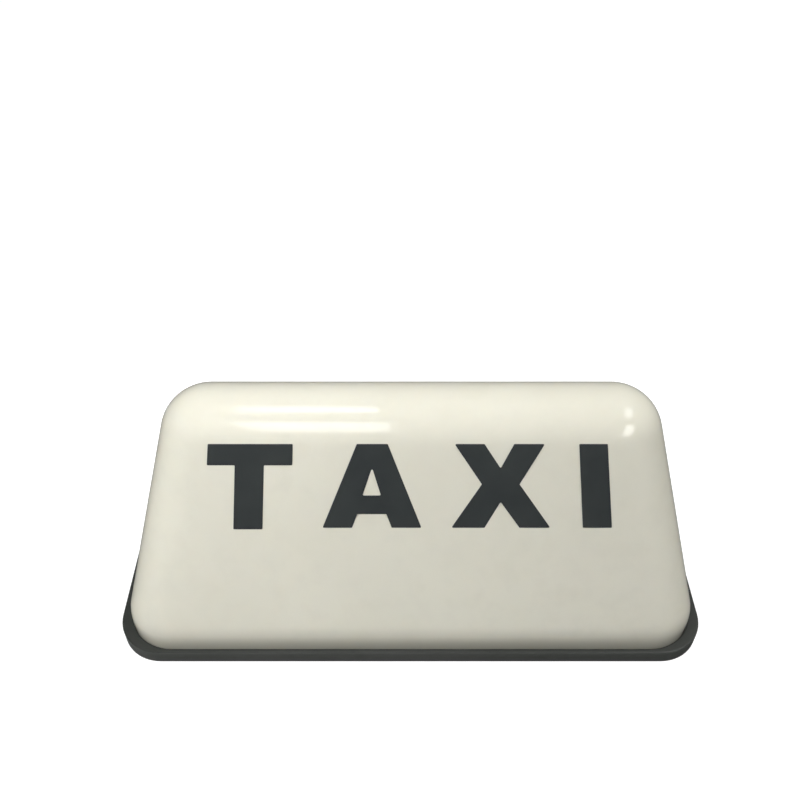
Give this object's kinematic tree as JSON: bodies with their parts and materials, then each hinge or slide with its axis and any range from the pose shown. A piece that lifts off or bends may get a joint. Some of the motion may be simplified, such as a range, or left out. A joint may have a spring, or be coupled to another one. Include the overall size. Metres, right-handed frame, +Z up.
{
  "type": "taxi roof sign",
  "caption": "Opal lamp dome with block letters on a black rimmed base tray, with foam tape underneath and an LED light bar inside.",
  "frame": {"origin": "centre of the bottom of the sign's box, level with the tape liner's face", "axes": "+X along the sign, to the right of somebody who reads the front letters, +Y to the rear, +Z up"},
  "size_m": [0.3, 0.142, 0.1207],
  "materials": {
    "opal_dome": "gloss",
    "letter_film": "satin",
    "black_tray": "satin",
    "black_rubber": "matte",
    "grey_foam": "matte",
    "red_liner": "satin",
    "orange_silicone": "satin",
    "aluminium": "satin",
    "white_board": "satin",
    "led_phosphor": "satin",
    "zinc_steel": "satin",
    "green_board": "satin",
    "chip_black": "matte",
    "silver_can": "satin",
    "terminal_blue": "satin",
    "red_wire": "satin",
    "black_wire": "satin"
  },
  "bodies": {
    "base": {"base_tray": "black_tray", "dome_gasket": "black_rubber", "cable_grommet": "black_rubber", "foam_tape": "grey_foam", "tape_liner": "red_liner", "hole_plug_1": "orange_silicone", "hole_plug_2": "orange_silicone", "hole_plug_3": "orange_silicone", "hole_plug_4": "orange_silicone", "led_bracket": "aluminium", "board_rivet_1": "aluminium", "board_rivet_2": "aluminium", "led_board_front": "white_board", "led_board_rear": "white_board", "led_front_1": "led_phosphor", "led_front_2": "led_phosphor", "led_front_3": "led_phosphor", "led_front_4": "led_phosphor", "led_front_5": "led_phosphor", "led_front_6": "led_phosphor", "led_rear_1": "led_phosphor", "led_rear_2": "led_phosphor", "led_rear_3": "led_phosphor", "led_rear_4": "led_phosphor", "led_rear_5": "led_phosphor", "led_rear_6": "led_phosphor", "bracket_screw_1": "zinc_steel", "bracket_screw_2": "zinc_steel", "bracket_screw_3": "zinc_steel", "bracket_screw_4": "zinc_steel", "driver_screw_1": "zinc_steel", "driver_screw_2": "zinc_steel", "driver_board": "green_board", "driver_regulator": "chip_black", "driver_capacitor": "silver_can", "terminal_block": "terminal_blue", "lead_red": "red_wire", "link_red": "red_wire", "lead_black": "black_wire", "link_black": "black_wire"},
    "dome_cover": {"dome": "opal_dome", "letter_t_front": "letter_film", "letter_a_front": "letter_film", "letter_x_front": "letter_film", "letter_i_front": "letter_film", "letter_t_rear": "letter_film", "letter_a_rear": "letter_film", "letter_x_rear": "letter_film", "letter_i_rear": "letter_film"}
  },
  "joints": [
    {"name": "dome_lift", "type": "slide", "parent": "base", "child": "dome_cover", "axis": [0, 0, 1], "range_m": [0, 0.12]}
  ]
}
